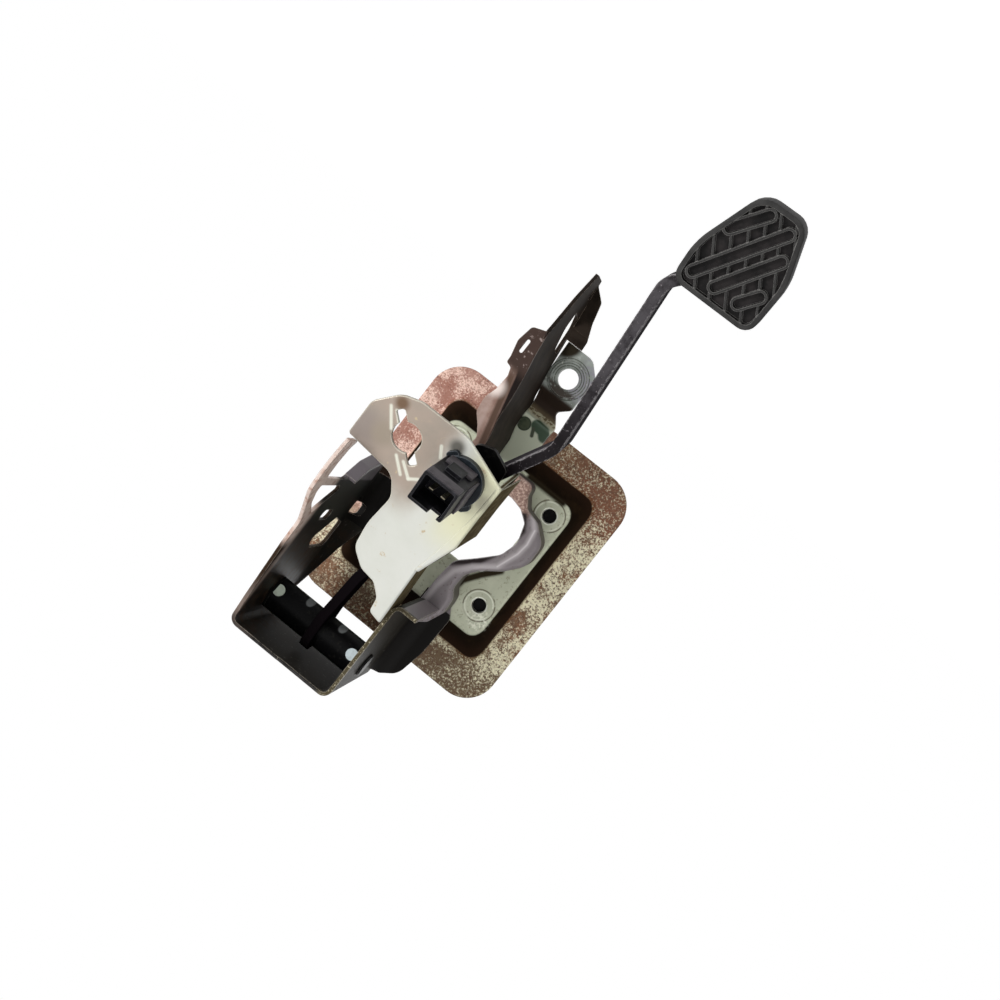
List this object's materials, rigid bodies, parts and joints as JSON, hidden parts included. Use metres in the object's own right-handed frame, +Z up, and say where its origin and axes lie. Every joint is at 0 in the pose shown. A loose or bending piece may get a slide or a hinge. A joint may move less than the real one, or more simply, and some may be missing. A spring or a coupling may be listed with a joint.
{
  "type": "brake pedal",
  "caption": "Hanging brake pedal with its sheet steel bracket, bulkhead plate and stop lamp switch.",
  "frame": {"origin": "on the bulkhead face of the dash plate, in the middle of the four stud holes", "axes": "+X to the driver's right, +Y away from the driver through the bulkhead, +Z up"},
  "size_m": [0.154, 0.224, 0.3664],
  "materials": {
    "zinc_yellow": "satin zinc passivated, with rust",
    "zinc_pale": "satin zinc",
    "zinc_grey": "satin zinc",
    "steel_brown": "dull dark coating, with rust",
    "steel_grey": "satin dark coating",
    "steel_black": "satin black coating",
    "rubber_black": "matte",
    "plastic_black": "satin",
    "plastic_blue": "satin",
    "nylon_pale": "satin",
    "brass": "satin"
  },
  "bodies": {
    "bracket": {"dash_plate": "zinc_yellow", "stud_collar_1": "zinc_grey", "stud_collar_2": "zinc_grey", "stud_collar_3": "zinc_grey", "stud_collar_4": "zinc_grey", "pedal_bracket": "steel_brown", "side_stay": "steel_grey", "switch_plate": "zinc_pale", "inner_stay": "steel_brown", "ear_bracket": "zinc_grey", "pivot_pin": "zinc_grey", "switch_holder": "plastic_blue", "switch_body": "plastic_black", "terminal_1": "brass", "terminal_2": "brass"},
    "pedal": {"hub_tube": "steel_black", "bush_left": "nylon_pale", "bush_right": "nylon_pale", "pedal_arm": "steel_black", "switch_tab": "steel_black", "tab_bumper": "nylon_pale", "pad_plate": "steel_black", "pedal_pad": "rubber_black"},
    "plunger": {"switch_plunger": "nylon_pale"}
  },
  "joints": [
    {"name": "pedal_pivot", "type": "hinge", "parent": "bracket", "child": "pedal", "pos_m": [0, -0.072, 0.101], "axis": [1, 0, 0], "range_deg": [0, 18], "stiffness_Nm_per_rad": 1.5, "springref_deg": -40.11},
    {"name": "plunger_slide", "type": "slide", "parent": "bracket", "child": "plunger", "axis": [0, 0.9397, -0.342], "range_m": [0, 0.005]}
  ],
  "couplings": [
    {"joint": "plunger_slide", "follows": "pedal_pivot", "m_per_rad": 0.0159}
  ]
}
